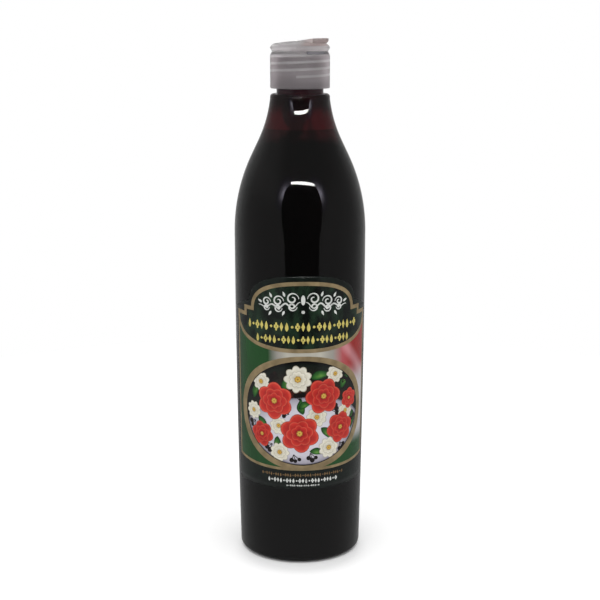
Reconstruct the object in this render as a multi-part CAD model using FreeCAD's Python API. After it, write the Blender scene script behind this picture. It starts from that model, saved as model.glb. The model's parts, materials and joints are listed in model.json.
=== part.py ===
import FreeCAD, Part
import math
import os

# Balsamic glaze bottle with a screwed-on flip-top cap. Millimetres, +Z up.
# The origin is the middle of the ring that the bottle stands on, and the label faces -Y.

# ---------------------------------------------------------------- body of the bottle
body_r = 30.5             # widest outer radius, where the shoulder starts
side_taper = 1.75         # how much narrower the side is just above the heel
shoulder_z = 153.7        # height at which the shoulder starts to draw in
wall = 0.75               # wall of the blown body
heel_r = 2.6              # rounding between the side and the standing ring
standing_w = 3.15         # width of the flat ring that the bottle stands on
push_up_h = 2.6           # height of that hollow at its middle
base_wall = 1.2           # thickness of the base

# ---------------------------------------------------------------- shoulder
# An outward arc, a short cone, then an inward arc up to the ledge under the cap.
# The cone leans as much as it takes to get from the body to the ledge.
shoulder_out_r = 81.6     # radius of the outward arc
shoulder_cone = 7.7       # length of the cone
shoulder_in_r = 60.4      # radius of the inward arc
neck_lean = 6.8           # lean left at the top of that arc, degrees from upright
ledge_w = 3.0             # how far the ledge stands out past the neck
ledge_lip = 0.65          # straight rise above that arc
ledge_corner = 1.6        # rounding from there onto the ledge

# ---------------------------------------------------------------- neck and its thread
neck_r = 10.7             # outside of the neck, at the root of the thread
neck_wall = 1.5
finish_h = 17.3           # height of the neck above the ledge
finish_round = 0.4        # rounding of its upper edge
thread_pitch = 3.175
thread_root = 1.9         # width of a thread's ridge where it meets its wall
thread_crest = 0.9        # width of the ridge at its top
thread_sink = 0.3         # how far a ridge runs into the wall that carries it
neck_thread_depth = 1.2
neck_thread_turns = 2.2
neck_thread_drop = 2.415  # upper end of the thread, below the mouth
neck_thread_start = -100.0  # direction of its lower end, degrees from +X

# ---------------------------------------------------------------- contents
fill_drop = 15.5          # level of the glaze, below the ledge

# ---------------------------------------------------------------- base of the cap, screwed on the neck
cap_clearance = 0.45      # radial gap between the neck's ridge and the cap's wall
cap_wall = 1.25
cap_gap = 2.35            # clear height between the ledge and the cap
cap_foot_round = 0.5      # rounding of the lower edge
deck_thick = 1.45         # top of the cap base, which sits on the neck
seam_in = 0.95            # how far in the groove between cap base and lid lies
cap_shoulder_h = 2.0      # height over which the cap base draws in to the groove
cap_shoulder_bulge = 0.17
thread_clearance = 0.35   # radial gap between the cap's ridge and the neck
cap_thread_turns = 1.7
pour_r = 3.2              # pouring hole
nozzle_wall = 1.1         # raised ring round the hole
nozzle_h = 1.5
recess_h = 1.0            # thumb recess in the rim of the cap base, under the tab
recess_depth = 0.9
recess_span = 66.0        # degrees round the rim

# ---------------------------------------------------------------- flip-top lid
seam_gap = 0.15           # gap between the deck and the lid
lid_flare_h = 1.65        # height over which the lid's rim widens to the cap's radius
lid_flare_bulge = 0.08
lid_rim_h = 1.85          # height of the rounded rim above that
lid_rim_in = 2.2          # how far the rounded rim draws in
lid_rim_bulge = 0.32
lid_dome_h = 1.0          # rise of the lid's top from the rim to the middle
lid_wall = 1.05
seal_wall = 0.8           # ring under the lid, which closes round the nozzle
seal_clearance = 0.25     # radial gap between that ring and the nozzle
seal_dip = 1.0            # how far it reaches down past the nozzle's upper edge

# ---------------------------------------------------------------- thumb tab on the lid
tab_turn = 44.0           # direction of the tab, degrees from the label's middle
tab_width = 10.5
tab_start = 2.5           # distance of its thin end from the axis
tab_overhang = 0.1        # how far its tip stands out past the cap
tab_rise = 1.3            # height of the tip above the lid's middle
tab_thick = 0.5           # thickness at the tip

# ---------------------------------------------------------------- living hinge, opposite the tab
hinge_inset = 0.7         # distance of the hinge line inside the cap's radius
hinge_clearance = 0.2     # distance from the hinge line to the flats beside it
strap_width = 8.0
strap_thick = 0.35
strap_grip = 0.9          # height of strap held on each flat

# ---------------------------------------------------------------- label
label_thick = 0.25
label_width = 78.6        # measured round the bottle
label_low_z = 37.3        # lower edge
label_drop = 16.0         # top of the arch, below the shoulder
label_step_w = 5.1        # step on each side, between the arch and the straight side
label_step_h = 3.1
label_arch_w = 55.0       # width of the arch between the steps
label_arch_h = 14.1       # rise of the arch above the steps
arch_power = 2.3          # squareness of the arch, 2 for a plain ellipse
arch_pieces = 24          # straight pieces that make up the arch's edge

# ---------------------------------------------------------------- cutting
cut_past = 1.0            # how far a cutting shape runs past what it cuts

# ---------------------------------------------------------------- sizes that follow
foot_r = body_r - side_taper
push_up_r = foot_r - heel_r - standing_w
neck_bore_r = neck_r - neck_wall
ledge_r = neck_r + ledge_w
top_lean = math.radians(neck_lean)
lean_base = shoulder_out_r + shoulder_in_r * math.cos(top_lean) - (body_r - ledge_r)
lean_arm = math.hypot(shoulder_out_r + shoulder_in_r, shoulder_cone)
lean = math.acos(lean_base / lean_arm) - math.atan2(shoulder_cone, shoulder_out_r + shoulder_in_r)
out_top_r = body_r - shoulder_out_r * (1 - math.cos(lean))
out_top_z = shoulder_z + shoulder_out_r * math.sin(lean)
cone_top_r = out_top_r - shoulder_cone * math.sin(lean)
cone_top_z = out_top_z + shoulder_cone * math.cos(lean)
in_top_z = cone_top_z + shoulder_in_r * (math.sin(lean) - math.sin(top_lean))
ledge_z = in_top_z + ledge_lip + ledge_corner
fill_z = ledge_z - fill_drop
finish_z = ledge_z + finish_h
deck_z = finish_z + deck_thick
neck_thread_z = finish_z - neck_thread_drop - neck_thread_turns * thread_pitch
nozzle_r = pour_r + nozzle_wall
nozzle_z = deck_z + nozzle_h
cap_foot_z = ledge_z + cap_gap
cap_bore_r = neck_r + neck_thread_depth + cap_clearance
cap_r = cap_bore_r + cap_wall
seam_r = cap_r - seam_in
lid_z = deck_z + seam_gap
lid_wide_z = lid_z + lid_flare_h
lid_rim_z = lid_wide_z + lid_rim_h
lid_rim_r = cap_r - lid_rim_in
lid_top_z = lid_rim_z + lid_dome_h
lid_in_r = seam_r - lid_wall
seal_r = nozzle_r + seal_clearance
tab_reach = cap_r + tab_overhang
tab_direction = tab_turn - 90.0
hinge_direction = tab_direction + 180.0
hinge_reach = cap_r - hinge_inset
hinge_flat = hinge_reach - hinge_clearance
hinge_z = deck_z + seam_gap / 2
label_top_z = shoulder_z - label_drop
label_step_z = label_top_z - label_arch_h
label_side_z = label_step_z - label_step_h


# ---------------------------------------------------------------- edges of a profile
def point(place):
    """A profile's (r, z) as a point in space."""
    return FreeCAD.Vector(place[0], 0, place[1])


def line(a, b):
    return Part.LineSegment(point(a), point(b)).toShape()


def lines(*places):
    """Straight edges from each place to the next."""
    return [line(a, b) for a, b in zip(places, places[1:])]


def arc(a, middle, b):
    return Part.Arc(point(a), point(middle), point(b)).toShape()


def arc_about(centre, radius, start, end):
    """An arc about a centre, between two directions in degrees."""
    places = []
    for direction in (start, (start + end) / 2, end):
        angle = math.radians(direction)
        places.append((centre[0] + radius * math.cos(angle), centre[1] + radius * math.sin(angle)))
    return arc(*places)


def bulged(a, b, bulge):
    """An arc from a to b that stands off the straight line by bulge, on its right-hand side."""
    length = math.dist(a, b)
    across = ((b[1] - a[1]) / length, (a[0] - b[0]) / length)
    middle = [(p + q) / 2 + bulge * n for p, q, n in zip(a, b, across)]
    return arc(a, middle, b)


def dome(r, z, rise):
    """An arc from (r, z) to the axis, level where it meets the axis, higher by rise."""
    big = (r * r + rise * rise) / (2 * rise)
    middle_z = z + rise - big + math.sqrt(big * big - r * r / 4)
    return arc((r, z), (r / 2, middle_z), (0, z + rise))


def start_of(edge):
    place = edge.valueAt(edge.FirstParameter)
    return place.x, place.z


def end_of(edge):
    place = edge.valueAt(edge.LastParameter)
    return place.x, place.z


# ---------------------------------------------------------------- solids
def upright(solid):
    """The solid with its faces pointing outward."""
    if solid.Volume < 0:
        solid.reverse()
    return solid


def revolve(edges, angle=360.0):
    """The solid that a closed profile sweeps about the axis."""
    face = Part.Face(Part.Wire(edges))
    return upright(face.revolve(FreeCAD.Vector(0, 0, 0), FreeCAD.Vector(0, 0, 1), angle))


def turned(shape, direction):
    """A copy of the shape, turned about the axis from +X to a direction in degrees."""
    copy = shape.copy()
    copy.rotate(FreeCAD.Vector(0, 0, 0), FreeCAD.Vector(0, 0, 1), direction)
    return copy


def radial_block(near, far, width, low, high, direction):
    """A block from near to far along a direction, centred across it."""
    corner = FreeCAD.Vector(near, -width / 2, low)
    return turned(Part.makeBox(far - near, width, high - low, corner), direction)


def ring(inner_r, outer_r, low, high, span=360.0):
    """A ring, or the sector of one that starts at +X."""
    corners = [(inner_r, low), (outer_r, low), (outer_r, high), (inner_r, high)]
    return revolve(lines(*corners, corners[0]), span)


def ridge(root_r, crest_r, turns, start_z, direction):
    """A right-handed screw ridge that stands out from root_r to crest_r and is sunk into its wall."""
    depth = abs(crest_r - root_r)
    sunk_r = root_r + math.copysign(thread_sink, root_r - crest_r)
    foot = (thread_root + (thread_root - thread_crest) * thread_sink / depth) / 2
    crest = thread_crest / 2
    section = [(sunk_r, -foot), (crest_r, -crest), (crest_r, crest), (sunk_r, foot)]
    profile = Part.Wire(lines(*section, section[0]))
    path = Part.Wire(Part.makeHelix(thread_pitch, thread_pitch * turns, root_r).Edges)
    swept = upright(path.makePipeShell([profile], True, True))
    swept.translate(FreeCAD.Vector(0, 0, start_z))
    return turned(swept, direction)


# ---------------------------------------------------------------- bottle and contents
def side_r(z):
    """Outer radius of the side, a long arc from the heel that is upright where the shoulder starts."""
    drop = shoulder_z - heel_r
    narrow = body_r - foot_r
    big = (drop * drop + narrow * narrow) / (2 * narrow)
    return body_r - big + math.sqrt(big * big - (shoulder_z - z) ** 2)


def side_arc(inset, low, high):
    """The side between two heights, set in by inset."""
    return arc(*[(side_r(z) - inset, z) for z in (low, (low + high) / 2, high)])


def shoulder(inset):
    """The shoulder's three edges, set in by inset."""
    out_centre = (body_r - shoulder_out_r, shoulder_z)
    in_centre = (cone_top_r + shoulder_in_r * math.cos(lean), cone_top_z + shoulder_in_r * math.sin(lean))
    outward = arc_about(out_centre, shoulder_out_r - inset, 0, math.degrees(lean))
    inward = arc_about(in_centre, shoulder_in_r + inset, 180 + math.degrees(lean), 180 + neck_lean)
    return [outward, line(end_of(outward), start_of(inward)), inward]


def outside():
    """The bottle as if it were solid, with its thread."""
    heel_centre = (foot_r - heel_r, heel_r)
    lip = (ledge_r, in_top_z + ledge_lip)
    corner_centre = (ledge_r - ledge_corner, lip[1])
    top_centre = (neck_r - finish_round, finish_z - finish_round)
    edges = [dome(push_up_r, 0, push_up_h), line((push_up_r, 0), (heel_centre[0], 0))]
    edges += [arc_about(heel_centre, heel_r, -90, 0), side_arc(0, heel_r, shoulder_z)]
    edges += [*shoulder(0), line((ledge_r, in_top_z), lip)]
    edges += [arc_about(corner_centre, ledge_corner, 0, 90)]
    edges += lines((corner_centre[0], ledge_z), (neck_r, ledge_z), (neck_r, top_centre[1]))
    edges += [arc_about(top_centre, finish_round, 0, 90)]
    edges += lines((top_centre[0], finish_z), (0, finish_z), (0, push_up_h))
    crest_r = neck_r + neck_thread_depth
    thread = ridge(neck_r, crest_r, neck_thread_turns, neck_thread_z, neck_thread_start)
    return revolve(edges).fuse(thread)


def cavity():
    """The space inside the bottle, up to the mouth."""
    corner_r = heel_r - wall
    corner_centre = (foot_r - heel_r, base_wall + corner_r)
    low_side = side_arc(wall, corner_centre[1], shoulder_z)
    shoulder_edges = shoulder(wall)
    corner = arc_about(corner_centre, corner_r, -90, 0)
    edges = [dome(push_up_r, base_wall, push_up_h), line((push_up_r, base_wall), start_of(corner))]
    edges += [corner, line(end_of(corner), start_of(low_side)), low_side, *shoulder_edges]
    edges += lines(end_of(shoulder_edges[-1]), (neck_bore_r, ledge_z), (neck_bore_r, finish_z))
    edges += lines((neck_bore_r, finish_z), (0, finish_z), (0, base_wall + push_up_h))
    return revolve(edges)


def glaze():
    """The contents, which touch the wall all round up to the fill level."""
    room = Part.makeCylinder(2 * body_r, fill_z)
    return cavity().common(room)


# ---------------------------------------------------------------- cap
def hinge_cutter(low, high):
    """What is cut away between two heights to make a flat beside the hinge, as wide as the cap."""
    return radial_block(hinge_flat, cap_r + cut_past, 2 * cap_r, low, high, hinge_direction)


def cap_base():
    """The threaded cap base with its deck, pouring nozzle, thumb recess and hinge flat."""
    foot_centre = (cap_r - cap_foot_round, cap_foot_z + cap_foot_round)
    shoulder_foot = (cap_r, deck_z - cap_shoulder_h)
    edges = [line((cap_bore_r, cap_foot_z), (foot_centre[0], cap_foot_z))]
    edges += [arc_about(foot_centre, cap_foot_round, -90, 0), line((cap_r, foot_centre[1]), shoulder_foot)]
    edges += [bulged(shoulder_foot, (seam_r, deck_z), cap_shoulder_bulge)]
    edges += lines((seam_r, deck_z), (nozzle_r, deck_z), (nozzle_r, nozzle_z), (pour_r, nozzle_z))
    edges += lines((pour_r, nozzle_z), (pour_r, finish_z), (cap_bore_r, finish_z), (cap_bore_r, cap_foot_z))
    thread_z = neck_thread_z - thread_pitch / 2
    thread = ridge(cap_bore_r, neck_r + thread_clearance, cap_thread_turns, thread_z, neck_thread_start)
    recess = ring(seam_r - recess_depth, cap_r + cut_past, deck_z - recess_h, deck_z + cut_past, recess_span)
    flat = hinge_cutter(shoulder_foot[1], deck_z + cut_past)
    body = revolve(edges).fuse(thread)
    return body.cut(turned(recess, tab_direction - recess_span / 2)).cut(flat)


def tab():
    """The wedge-shaped thumb tab, rounded at its tip about the axis."""
    tip_z = lid_top_z + tab_rise
    side = [
        (tab_start, lid_top_z),
        (tab_start, lid_top_z - lid_wall / 2),
        (lid_rim_r, lid_rim_z),
        (tab_reach, tip_z - tab_thick),
        (tab_reach, tip_z),
    ]
    face = Part.Face(Part.Wire(lines(*side, side[0])))
    face.translate(FreeCAD.Vector(0, -tab_width / 2, 0))
    wedge = upright(face.extrude(FreeCAD.Vector(0, tab_width, 0)))
    reach = Part.makeCylinder(tab_reach, tip_z + cut_past)
    return turned(wedge.common(reach), tab_direction)


def lid():
    """The closed flip-top lid with its tab, sealing ring and hinge flat."""
    seam = (seam_r, lid_z)
    widest = (cap_r, lid_wide_z)
    rim = (lid_rim_r, lid_rim_z)
    ceiling_z = lid_rim_z - lid_wall
    edges = [line((lid_in_r, lid_z), seam), bulged(seam, widest, lid_flare_bulge)]
    edges += [bulged(widest, rim, lid_rim_bulge), dome(*rim, lid_dome_h)]
    edges += lines((0, lid_top_z), (0, ceiling_z + lid_dome_h))
    edges += [dome(lid_in_r, ceiling_z, lid_dome_h), line((lid_in_r, ceiling_z), (lid_in_r, lid_z))]
    seal = ring(seal_r, seal_r + seal_wall, nozzle_z - seal_dip, lid_rim_z)
    flat = hinge_cutter(lid_z - cut_past, lid_top_z + cut_past)
    return revolve(edges).fuse(seal).fuse(tab()).cut(flat)


def hinge_strap():
    """The thin strap that joins the two flats and bends as the lid opens."""
    low = deck_z - strap_grip
    high = lid_z + strap_grip
    return radial_block(hinge_flat, hinge_flat + strap_thick, strap_width, low, high, hinge_direction)


# ---------------------------------------------------------------- label
def label_edge():
    """Right half of the label's upper edge, as (distance round the bottle, height)."""
    half = label_arch_w / 2
    edge = []
    for i in range(arch_pieces // 2 + 1):
        angle = math.pi / 2 * (1 - 2 * i / arch_pieces)
        across = half * math.cos(angle) ** (2 / arch_power)
        edge.append((across, label_step_z + label_arch_h * math.sin(angle) ** (2 / arch_power)))
    step = half + label_step_w
    return edge + [(step, label_step_z), (step, label_side_z), (label_width / 2, label_side_z)]


def label():
    """The label, a thin sheet wrapped on the side, with its upper edge cut to an arch between steps."""
    round_r = side_r((label_low_z + label_side_z) / 2)
    span = math.degrees(label_width / round_r)
    inner = side_arc(0, label_low_z, label_top_z)
    outer = side_arc(-label_thick, label_low_z, label_top_z)
    joins = [line(end_of(inner), end_of(outer)), line(start_of(outer), start_of(inner))]
    sheet = revolve([inner, joins[0], outer, joins[1]], span)
    corners = [(side_r(z) * math.sin(s / round_r), z) for s, z in label_edge()]
    past_x = corners[-1][0] + cut_past
    right = [*corners[:-1], (past_x, label_side_z), (past_x, label_low_z - cut_past)]
    left = [(-x, z) for x, z in reversed(right[1:])]
    face = Part.Face(Part.Wire(lines(*right, *left, right[0])))
    outline = upright(face.extrude(FreeCAD.Vector(0, -2 * body_r, 0)))
    return turned(sheet, -90 - span / 2).common(outline)


def single(shape):
    """The one solid of a shape."""
    solids = shape.Solids
    if len(solids) != 1:
        raise ValueError(f"expected one solid, found {len(solids)}")
    return solids[0]


nodes = {
    "bottle": outside().cut(cavity()),
    "glaze": glaze(),
    "cap_base": cap_base(),
    "lid": lid(),
    "hinge_strap": hinge_strap(),
    "label": label(),
}

os.makedirs("parts", exist_ok=True)
for name, shape in nodes.items():
    solid = single(shape)
    solid.exportStep(f"parts/{name}.step")
    size = solid.BoundBox
    print(f"{name}: valid {solid.isValid()}, {solid.Volume:.1f} mm3, z {size.ZMin:.2f} to {size.ZMax:.2f}")
print(f"hinge line {hinge_reach:.3f} mm out, {hinge_z:.3f} mm up, towards {hinge_direction:.1f} degrees")
print(f"ledge {ledge_z:.3f}, mouth {finish_z:.3f}, deck {deck_z:.3f}, lid top {lid_top_z:.3f}")
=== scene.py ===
"""Looks of the balsamic glaze bottle: clear blown bottle, dark glaze, translucent cap and printed label.

The piece's lengths are millimetres until a mesh is made, which is in metres. The stage's are metres. The
bottle's axis is +Z and the label faces -Y. A place on the label is (s, z): s is the distance round the
bottle from the label's middle.
"""
import json
import math
import random
from math import cos, pi, radians, sin, tau

import bmesh
import bpy
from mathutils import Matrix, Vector
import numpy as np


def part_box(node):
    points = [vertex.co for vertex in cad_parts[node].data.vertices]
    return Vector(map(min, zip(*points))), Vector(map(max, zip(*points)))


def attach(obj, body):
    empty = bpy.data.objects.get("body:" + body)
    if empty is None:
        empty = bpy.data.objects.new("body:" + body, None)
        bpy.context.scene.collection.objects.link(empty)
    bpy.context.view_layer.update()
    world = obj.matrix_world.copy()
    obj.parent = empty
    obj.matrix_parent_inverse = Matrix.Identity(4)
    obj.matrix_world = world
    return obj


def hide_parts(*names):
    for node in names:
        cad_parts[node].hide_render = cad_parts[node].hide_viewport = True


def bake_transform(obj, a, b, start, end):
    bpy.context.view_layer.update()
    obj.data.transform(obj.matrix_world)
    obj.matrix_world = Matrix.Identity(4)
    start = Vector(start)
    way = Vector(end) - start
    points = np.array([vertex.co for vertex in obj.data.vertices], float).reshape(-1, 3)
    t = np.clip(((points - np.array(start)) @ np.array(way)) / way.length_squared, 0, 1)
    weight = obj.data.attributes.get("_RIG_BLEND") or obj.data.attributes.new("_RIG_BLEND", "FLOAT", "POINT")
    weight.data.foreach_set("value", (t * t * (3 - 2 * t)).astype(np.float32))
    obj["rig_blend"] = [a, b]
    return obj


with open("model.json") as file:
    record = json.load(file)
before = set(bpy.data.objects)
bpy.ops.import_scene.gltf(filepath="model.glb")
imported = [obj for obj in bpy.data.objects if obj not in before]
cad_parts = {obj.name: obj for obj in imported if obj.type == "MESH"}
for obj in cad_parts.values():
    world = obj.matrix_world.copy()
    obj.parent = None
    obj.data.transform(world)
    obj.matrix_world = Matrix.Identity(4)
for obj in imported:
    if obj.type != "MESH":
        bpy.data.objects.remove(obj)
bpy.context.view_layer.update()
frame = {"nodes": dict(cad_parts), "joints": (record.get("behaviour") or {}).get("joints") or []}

MM = 0.001


def corners_mm(node):
    """Lowest and highest corner of a CAD node, in millimetres."""
    return [[value / MM for value in corner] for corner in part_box(node)]


bottle_high = corners_mm("bottle")[1]
glaze_low, glaze_high = corners_mm("glaze")

# ---- sizes of the bottle
BODY_R = bottle_high[0]
MOUTH_Z = bottle_high[2]
FILL_Z = glaze_high[2]
WALL = bottle_high[0] - glaze_high[0]
BASE_WALL = glaze_low[2]
SIDE_TAPER = 1.75
HEEL_R = 2.6
STANDING_W = 3.15
PUSH_UP_H = 2.6
SHOULDER_OUT_R = 81.6
SHOULDER_CONE = 7.7
SHOULDER_IN_R = 60.4
NECK_LEAN = radians(6.8)
LEDGE_W = 3.0
LEDGE_LIP = 0.65
LEDGE_CORNER = 1.6
NECK_R = 10.7
NECK_WALL = 1.5
FINISH_H = 17.3
FINISH_ROUND = 0.4
THREAD_PITCH = 3.175
THREAD_ROOT = 1.9
THREAD_CREST = 0.9
THREAD_DEPTH = 1.2
THREAD_TURNS = 2.2
THREAD_DROP = 2.415
THREAD_START = radians(-100.0)
THREAD_RUN_IN = 0.06    # turns over which a ridge rises to its full depth
SEGMENTS = 192          # round the axis
SHARP_ANGLE = 30.0      # edges that turn more, in degrees, are shaded sharp
ON_AXIS = 1e-6          # a smaller radius counts as none
REPEATED = 1e-4         # closer points count as one

LEDGE_Z = MOUTH_Z - FINISH_H
FOOT_R = BODY_R - SIDE_TAPER
PUSH_UP_R = FOOT_R - HEEL_R - STANDING_W
BORE_R = NECK_R - NECK_WALL
LEDGE_R = NECK_R + LEDGE_W
ARCS_R = SHOULDER_OUT_R + SHOULDER_IN_R
LEAN_BASE = SHOULDER_OUT_R + SHOULDER_IN_R * cos(NECK_LEAN) - (BODY_R - LEDGE_R)
LEAN = math.acos(LEAN_BASE / math.hypot(ARCS_R, SHOULDER_CONE)) - math.atan2(SHOULDER_CONE, ARCS_R)
ARC_TOP_Z = LEDGE_Z - LEDGE_LIP - LEDGE_CORNER
CONE_TOP_Z = ARC_TOP_Z - SHOULDER_IN_R * (sin(LEAN) - sin(NECK_LEAN))
CONE_TOP_R = LEDGE_R + SHOULDER_IN_R * (cos(NECK_LEAN) - cos(LEAN))
CONE_LOW_Z = CONE_TOP_Z - SHOULDER_CONE * cos(LEAN)
SHOULDER_Z = CONE_LOW_Z - SHOULDER_OUT_R * sin(LEAN)
THREAD_Z = MOUTH_Z - THREAD_DROP - THREAD_TURNS * THREAD_PITCH

# ---- cap
CAP_FOOT_Z = corners_mm("cap_base")[0][2]
LID_TOP_Z = corners_mm("lid")[1][2]
SEAM_GAP = 0.15         # between deck and lid, with the hinge line in its middle
HINGE = Vector(frame["joints"][0]["pos_m"]) / MM
TAB_DIRECTION = -Vector((HINGE.x, HINGE.y)).normalized()
DECK_Z = HINGE.z - SEAM_GAP / 2
BAND_START_Z = 224.8    # lowest lap of the thread that shows through the cap
BAND_LAPS = 3

# ---- contents
GLAZE_IN_WALL = 0.25    # how far the glaze reaches into the wall, so that no air gap shows
FILM_THICK = 0.3        # glaze left on the wall above its level
FILM_TOP_GAP = 1.0      # from the top of that glaze to the mouth
MENISCUS = 1.2          # how far the level creeps up the wall
MENISCUS_W = 6.0

# ---- label
(_, _, LABEL_LOW_Z), (_, _, LABEL_TOP_Z) = corners_mm("label")
LABEL_HALF = 39.3
LABEL_FILM = 0.1        # thickness of the film under the print
PRINT_STEP = 0.012      # height of one printed layer over the one below
MICRON = 0.001          # parts of one layer that cross differ by a few of it
CUT_ACROSS = 0.75       # spacing of the cuts that let a flat shape bend round the bottle
CUT_UP = 8.0            # and of those that let it follow the side's long arc
ARCH_HALF = 27.5
ARCH_H = 14.1
STEP_W = 5.1
STEP_H = 3.1
ARCH_POWER = 2.3
ARCH_STEPS = 48
FRAME_INSET = 2.3       # from the label's edge to the middle of the gold line
ARCH_INSET = 3.4        # and from the top of its arch
GOLD_W = 1.8
THIN_GOLD_W = 1.3
FIELD_HALF = 36.9       # half width of the coloured field
FIELD_DROP = 4.0        # how far its top lies under the panel's shoulders
BAND_Z = 46.8           # lowest gold line, in its middle
BAND_RISE = 2.7         # and how much higher its ends are
BAND_STEPS = 24
PANEL_BOTTOM_Z = 103.2  # lowest point of the upper panel's frame
PANEL_POWER = 2.35      # squareness of the lower edge of the panel
OVAL_Z = 73.6           # middle of the oval frame
OVAL_OUT = (33.8, 27.1)  # its half width and half height
OVAL_IN = (30.3, 25.0)
OVAL_STEPS = 72
LEAF_STEPS = 12
DOT_STEPS = 12
SHARPEST_MITRE = 0.6    # limits how far a line's outer corner reaches


# ======== meshes
def placed(name, data):
    """A new object in the scene from its mesh, lamp or camera."""
    obj = bpy.data.objects.new(name, data)
    bpy.context.scene.collection.objects.link(obj)
    return obj


def new_object(name, verts, faces):
    """A piece from points in millimetres."""
    mesh = bpy.data.meshes.new(name)
    mesh.from_pydata([[value * MM for value in v] for v in verts], [], faces)
    mesh.validate()
    mesh.shade_smooth()
    mesh.set_sharp_from_angle(angle=radians(SHARP_ANGLE))
    return placed(name, mesh)


def from_bmesh(name, flat, smooth=False):
    """An object from a bmesh, which is freed."""
    mesh = bpy.data.meshes.new(name)
    flat.to_mesh(mesh)
    flat.free()
    if smooth:
        mesh.shade_smooth()
    return placed(name, mesh)


def dress(obj, finish, slot, *nodes):
    """Gives a piece of the bottle its material, hangs it on the bottle's body and hides the CAD nodes that
    it stands for. slot is not used.
    """
    obj.data.materials.append(finish)
    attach(obj, "bottle")
    if nodes:
        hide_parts(*nodes)


def around(x, y, r, angle):
    """The point at a distance and an angle from (x, y)."""
    return x + r * cos(angle), y + r * sin(angle)


def ring_faces(rings, closed=False):
    """Faces between rings of point numbers, from each ring to the next."""
    faces = []
    for lower, upper in zip(rings, rings[1:] + rings[:1] if closed else rings[1:]):
        for corners in zip(lower, lower[1:] + lower[:1], upper[1:] + upper[:1], upper):
            faces.append(list(dict.fromkeys(corners)))
    return faces


def lathe(name, rows, closed=False, shift=None):
    """A surface of revolution through rows of (r, z). shift(r, z, direction) moves a row's point outward.
    Rows on the axis become one point. A closed one joins its last row to its first."""
    verts, rings = [], []
    for r, z in rows:
        if r < ON_AXIS:
            rings.append([len(verts)] * SEGMENTS)
            verts.append((0, 0, z))
            continue
        rings.append(list(range(len(verts), len(verts) + SEGMENTS)))
        for i in range(SEGMENTS):
            direction = tau * i / SEGMENTS
            out = r + (shift(r, z, direction) if shift else 0.0)
            verts.append((*around(0, 0, out, direction), z))
    return new_object(name, verts, ring_faces(rings, closed))


def arc_rows(centre, radius, start, end, steps):
    """Points of an arc in a profile, angles in radians."""
    return [around(*centre, radius, start + (end - start) * i / steps) for i in range(steps + 1)]


def straight_rows(a, b, steps):
    """Points of a straight stretch in a profile."""
    return [(a[0] + (b[0] - a[0]) * i / steps, a[1] + (b[1] - a[1]) * i / steps) for i in range(steps + 1)]


def tidy(rows):
    """The rows without repeated points."""
    kept = [rows[0]]
    for row in rows[1:]:
        if math.dist(row, kept[-1]) > REPEATED:
            kept.append(row)
    return kept


# ======== bottle
def side_r(z):
    """Outer radius of the side, a long arc that is upright where the shoulder starts."""
    drop = SHOULDER_Z - HEEL_R
    big = (drop * drop + SIDE_TAPER * SIDE_TAPER) / (2 * SIDE_TAPER)
    return BODY_R - big + math.sqrt(big * big - (SHOULDER_Z - z) ** 2)


def dome_rows(r, z, rise, steps):
    """A shallow dome from the axis out to (r, z), higher by rise in the middle."""
    big = (r * r + rise * rise) / (2 * rise)
    places = [r * i / steps for i in range(steps + 1)]
    return [(out, z + rise - big + math.sqrt(big * big - out ** 2)) for out in places]


def wall_rows(inset, foot_z, top_z):
    """The side and the shoulder from foot_z, set in by inset."""
    rows = [(side_r(z) - inset, z) for _, z in straight_rows((0, foot_z), (0, SHOULDER_Z), 30)]
    out_centre = (BODY_R - SHOULDER_OUT_R, SHOULDER_Z)
    in_centre = (CONE_TOP_R + SHOULDER_IN_R * cos(LEAN), CONE_TOP_Z + SHOULDER_IN_R * sin(LEAN))
    rows += arc_rows(out_centre, SHOULDER_OUT_R - inset, 0, LEAN, 24)
    rows += arc_rows(in_centre, SHOULDER_IN_R + inset, pi + LEAN, pi + NECK_LEAN, 20)
    return [row for row in tidy(rows) if row[1] <= top_z]


def ridge(z, direction):
    """Share of its full depth that the thread's ridge has at a height and a direction."""
    first = ((direction - THREAD_START) % tau) / tau
    for lap in range(math.ceil(THREAD_TURNS) + 1):
        turn = first + lap
        if turn > THREAD_TURNS:
            break
        off = abs(z - THREAD_Z - THREAD_PITCH * turn)
        flank = (THREAD_ROOT / 2 - off) / ((THREAD_ROOT - THREAD_CREST) / 2)
        run_in = min(turn, THREAD_TURNS - turn) / THREAD_RUN_IN
        if flank > 0:
            return max(0.0, min(1.0, flank, run_in))
    return 0.0


def neck_shift(r, z, direction):
    """How far the neck's thread stands out."""
    if abs(r - NECK_R) > REPEATED or not LEDGE_Z < z < MOUTH_Z:
        return 0.0
    return THREAD_DEPTH * ridge(z, direction)


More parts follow.
